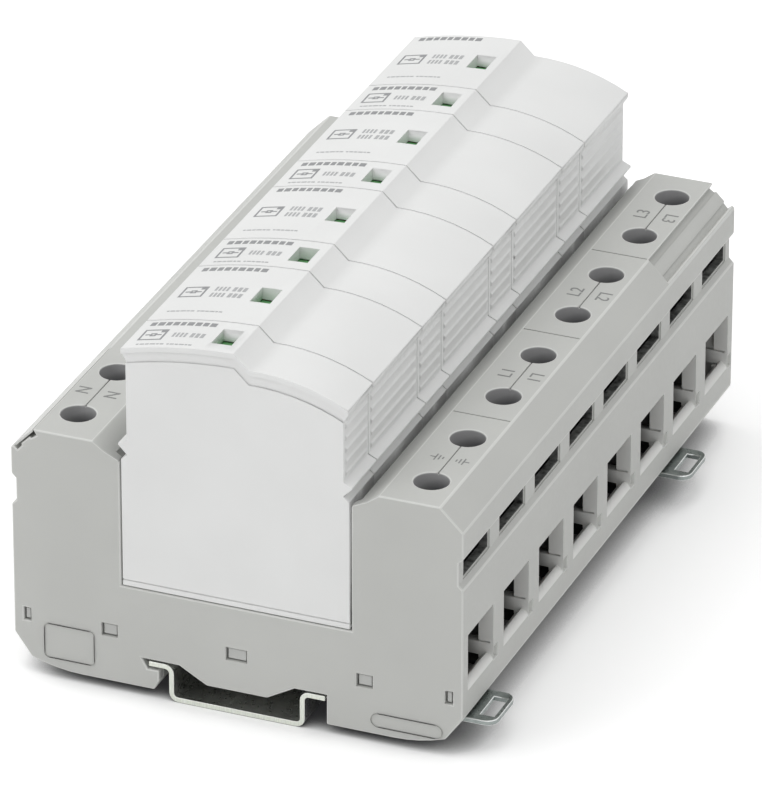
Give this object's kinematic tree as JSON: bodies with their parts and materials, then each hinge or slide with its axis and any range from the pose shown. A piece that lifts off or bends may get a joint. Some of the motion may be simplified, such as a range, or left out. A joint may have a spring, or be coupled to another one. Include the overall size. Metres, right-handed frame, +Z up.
{
  "type": "din rail surge arrester",
  "caption": "Combined lightning and surge arrester: white plug-in arresters side by side in a grey terminal base, clipped on a short piece of top-hat rail.",
  "frame": {"origin": "middle of the rail's underside", "axes": "+X across the rail towards the side with the foot latches, +Y along the rail, +Z up and away from the rail"},
  "size_m": [0.0939, 0.1424, 0.0745],
  "materials": {
    "housing_grey": "fine matt moulded surface",
    "floor_grey": "fine matt moulded surface",
    "plug_white": "satin moulded surface",
    "flag_green": "smooth",
    "zinc_steel": "zinc plated, satin",
    "busbar_metal": "rolled strip",
    "arrester_element": "dark coated block"
  },
  "bodies": {
    "base": {"base_housing": "housing_grey", "base_floor": "floor_grey", "marker_strip": "floor_grey", "din_rail": "zinc_steel", "busbar_pe": "busbar_metal", "busbar_l1": "busbar_metal", "busbar_l2": "busbar_metal", "busbar_l3": "busbar_metal", "busbar_n": "busbar_metal"},
    "latch_front": {"foot_latch_front": "zinc_steel"},
    "latch_rear": {"foot_latch_rear": "zinc_steel"},
    "screw_pe_1": {"terminal_screw_pe_1": "zinc_steel"},
    "screw_pe_2": {"terminal_screw_pe_2": "zinc_steel"},
    "screw_l1_1": {"terminal_screw_l1_1": "zinc_steel"},
    "screw_l1_2": {"terminal_screw_l1_2": "zinc_steel"},
    "screw_l2_1": {"terminal_screw_l2_1": "zinc_steel"},
    "screw_l2_2": {"terminal_screw_l2_2": "zinc_steel"},
    "screw_l3_1": {"terminal_screw_l3_1": "zinc_steel"},
    "screw_l3_2": {"terminal_screw_l3_2": "zinc_steel"},
    "screw_n_1": {"terminal_screw_n_1": "zinc_steel"},
    "screw_n_2": {"terminal_screw_n_2": "zinc_steel"},
    "cage_pe_1": {"clamp_cage_pe_1": "zinc_steel"},
    "cage_pe_2": {"clamp_cage_pe_2": "zinc_steel"},
    "cage_l1_1": {"clamp_cage_l1_1": "zinc_steel"},
    "cage_l1_2": {"clamp_cage_l1_2": "zinc_steel"},
    "cage_l2_1": {"clamp_cage_l2_1": "zinc_steel"},
    "cage_l2_2": {"clamp_cage_l2_2": "zinc_steel"},
    "cage_l3_1": {"clamp_cage_l3_1": "zinc_steel"},
    "cage_l3_2": {"clamp_cage_l3_2": "zinc_steel"},
    "cage_n_1": {"clamp_cage_n_1": "zinc_steel"},
    "cage_n_2": {"clamp_cage_n_2": "zinc_steel"},
    "plug_1": {"plug_housing_1": "plug_white", "arrester_insert_1": "arrester_element"},
    "plug_2": {"plug_housing_2": "plug_white", "arrester_insert_2": "arrester_element"},
    "plug_3": {"plug_housing_3": "plug_white", "arrester_insert_3": "arrester_element"},
    "plug_4": {"plug_housing_4": "plug_white", "arrester_insert_4": "arrester_element"},
    "plug_5": {"plug_housing_5": "plug_white", "arrester_insert_5": "arrester_element"},
    "plug_6": {"plug_housing_6": "plug_white", "arrester_insert_6": "arrester_element"},
    "plug_7": {"plug_housing_7": "plug_white", "arrester_insert_7": "arrester_element"},
    "plug_8": {"plug_housing_8": "plug_white", "arrester_insert_8": "arrester_element"},
    "flag_1": {"status_flag_1": "flag_green"},
    "flag_2": {"status_flag_2": "flag_green"},
    "flag_3": {"status_flag_3": "flag_green"},
    "flag_4": {"status_flag_4": "flag_green"},
    "flag_5": {"status_flag_5": "flag_green"},
    "flag_6": {"status_flag_6": "flag_green"},
    "flag_7": {"status_flag_7": "flag_green"},
    "flag_8": {"status_flag_8": "flag_green"}
  },
  "joints": [
    {"name": "latch_front_pull", "type": "slide", "parent": "base", "child": "latch_front", "axis": [1, 0, 0], "range_m": [0, 0.0035], "stiffness_N_per_m": 600, "springref_m": -0.002},
    {"name": "latch_rear_pull", "type": "slide", "parent": "base", "child": "latch_rear", "axis": [1, 0, 0], "range_m": [0, 0.0035], "stiffness_N_per_m": 600, "springref_m": -0.002},
    {"name": "screw_pe_1_turn", "type": "hinge", "parent": "base", "child": "screw_pe_1", "pos_m": [0.0348, -0.0623, 0.043], "axis": [0, 0, -1], "range_deg": [0, 2160]},
    {"name": "screw_pe_2_turn", "type": "hinge", "parent": "base", "child": "screw_pe_2", "pos_m": [0.0348, -0.0445, 0.043], "axis": [0, 0, -1], "range_deg": [0, 2160]},
    {"name": "screw_l1_1_turn", "type": "hinge", "parent": "base", "child": "screw_l1_1", "pos_m": [0.0348, -0.0267, 0.043], "axis": [0, 0, -1], "range_deg": [0, 2160]},
    {"name": "screw_l1_2_turn", "type": "hinge", "parent": "base", "child": "screw_l1_2", "pos_m": [0.0348, -0.0089, 0.043], "axis": [0, 0, -1], "range_deg": [0, 2160]},
    {"name": "screw_l2_1_turn", "type": "hinge", "parent": "base", "child": "screw_l2_1", "pos_m": [0.0348, 0.0089, 0.043], "axis": [0, 0, -1], "range_deg": [0, 2160]},
    {"name": "screw_l2_2_turn", "type": "hinge", "parent": "base", "child": "screw_l2_2", "pos_m": [0.0348, 0.0267, 0.043], "axis": [0, 0, -1], "range_deg": [0, 2160]},
    {"name": "screw_l3_1_turn", "type": "hinge", "parent": "base", "child": "screw_l3_1", "pos_m": [0.0348, 0.0445, 0.043], "axis": [0, 0, -1], "range_deg": [0, 2160]},
    {"name": "screw_l3_2_turn", "type": "hinge", "parent": "base", "child": "screw_l3_2", "pos_m": [0.0348, 0.0623, 0.043], "axis": [0, 0, -1], "range_deg": [0, 2160]},
    {"name": "screw_n_1_turn", "type": "hinge", "parent": "base", "child": "screw_n_1", "pos_m": [-0.0348, -0.0623, 0.043], "axis": [0, 0, -1], "range_deg": [0, 2160]},
    {"name": "screw_n_2_turn", "type": "hinge", "parent": "base", "child": "screw_n_2", "pos_m": [-0.0348, -0.0445, 0.043], "axis": [0, 0, -1], "range_deg": [0, 2160]},
    {"name": "cage_pe_1_lift", "type": "slide", "parent": "base", "child": "cage_pe_1", "axis": [0, 0, 1], "range_m": [0, 0.0048]},
    {"name": "cage_pe_2_lift", "type": "slide", "parent": "base", "child": "cage_pe_2", "axis": [0, 0, 1], "range_m": [0, 0.0048]},
    {"name": "cage_l1_1_lift", "type": "slide", "parent": "base", "child": "cage_l1_1", "axis": [0, 0, 1], "range_m": [0, 0.0048]},
    {"name": "cage_l1_2_lift", "type": "slide", "parent": "base", "child": "cage_l1_2", "axis": [0, 0, 1], "range_m": [0, 0.0048]},
    {"name": "cage_l2_1_lift", "type": "slide", "parent": "base", "child": "cage_l2_1", "axis": [0, 0, 1], "range_m": [0, 0.0048]},
    {"name": "cage_l2_2_lift", "type": "slide", "parent": "base", "child": "cage_l2_2", "axis": [0, 0, 1], "range_m": [0, 0.0048]},
    {"name": "cage_l3_1_lift", "type": "slide", "parent": "base", "child": "cage_l3_1", "axis": [0, 0, 1], "range_m": [0, 0.0048]},
    {"name": "cage_l3_2_lift", "type": "slide", "parent": "base", "child": "cage_l3_2", "axis": [0, 0, 1], "range_m": [0, 0.0048]},
    {"name": "cage_n_1_lift", "type": "slide", "parent": "base", "child": "cage_n_1", "axis": [0, 0, 1], "range_m": [0, 0.0048]},
    {"name": "cage_n_2_lift", "type": "slide", "parent": "base", "child": "cage_n_2", "axis": [0, 0, 1], "range_m": [0, 0.0048]},
    {"name": "plug_1_pull", "type": "slide", "parent": "base", "child": "plug_1", "axis": [0, 0, 1], "range_m": [0, 0.038]},
    {"name": "plug_2_pull", "type": "slide", "parent": "base", "child": "plug_2", "axis": [0, 0, 1], "range_m": [0, 0.038]},
    {"name": "plug_3_pull", "type": "slide", "parent": "base", "child": "plug_3", "axis": [0, 0, 1], "range_m": [0, 0.038]},
    {"name": "plug_4_pull", "type": "slide", "parent": "base", "child": "plug_4", "axis": [0, 0, 1], "range_m": [0, 0.038]},
    {"name": "plug_5_pull", "type": "slide", "parent": "base", "child": "plug_5", "axis": [0, 0, 1], "range_m": [0, 0.038]},
    {"name": "plug_6_pull", "type": "slide", "parent": "base", "child": "plug_6", "axis": [0, 0, 1], "range_m": [0, 0.038]},
    {"name": "plug_7_pull", "type": "slide", "parent": "base", "child": "plug_7", "axis": [0, 0, 1], "range_m": [0, 0.038]},
    {"name": "plug_8_pull", "type": "slide", "parent": "base", "child": "plug_8", "axis": [0, 0, 1], "range_m": [0, 0.038]},
    {"name": "flag_1_trip", "type": "slide", "parent": "plug_1", "child": "flag_1", "axis": [-1, 0, 0], "range_m": [0, 0.004]},
    {"name": "flag_2_trip", "type": "slide", "parent": "plug_2", "child": "flag_2", "axis": [-1, 0, 0], "range_m": [0, 0.004]},
    {"name": "flag_3_trip", "type": "slide", "parent": "plug_3", "child": "flag_3", "axis": [-1, 0, 0], "range_m": [0, 0.004]},
    {"name": "flag_4_trip", "type": "slide", "parent": "plug_4", "child": "flag_4", "axis": [-1, 0, 0], "range_m": [0, 0.004]},
    {"name": "flag_5_trip", "type": "slide", "parent": "plug_5", "child": "flag_5", "axis": [-1, 0, 0], "range_m": [0, 0.004]},
    {"name": "flag_6_trip", "type": "slide", "parent": "plug_6", "child": "flag_6", "axis": [-1, 0, 0], "range_m": [0, 0.004]},
    {"name": "flag_7_trip", "type": "slide", "parent": "plug_7", "child": "flag_7", "axis": [-1, 0, 0], "range_m": [0, 0.004]},
    {"name": "flag_8_trip", "type": "slide", "parent": "plug_8", "child": "flag_8", "axis": [-1, 0, 0], "range_m": [0, 0.004]}
  ],
  "couplings": [
    {"joint": "screw_pe_1_turn", "follows": "cage_pe_1_lift", "rad_per_m": 7853.9},
    {"joint": "screw_pe_2_turn", "follows": "cage_pe_2_lift", "rad_per_m": 7853.9},
    {"joint": "screw_l1_1_turn", "follows": "cage_l1_1_lift", "rad_per_m": 7853.9},
    {"joint": "screw_l1_2_turn", "follows": "cage_l1_2_lift", "rad_per_m": 7853.9},
    {"joint": "screw_l2_1_turn", "follows": "cage_l2_1_lift", "rad_per_m": 7853.9},
    {"joint": "screw_l2_2_turn", "follows": "cage_l2_2_lift", "rad_per_m": 7853.9},
    {"joint": "screw_l3_1_turn", "follows": "cage_l3_1_lift", "rad_per_m": 7853.9},
    {"joint": "screw_l3_2_turn", "follows": "cage_l3_2_lift", "rad_per_m": 7853.9},
    {"joint": "screw_n_1_turn", "follows": "cage_n_1_lift", "rad_per_m": 7853.9},
    {"joint": "screw_n_2_turn", "follows": "cage_n_2_lift", "rad_per_m": 7853.9}
  ]
}
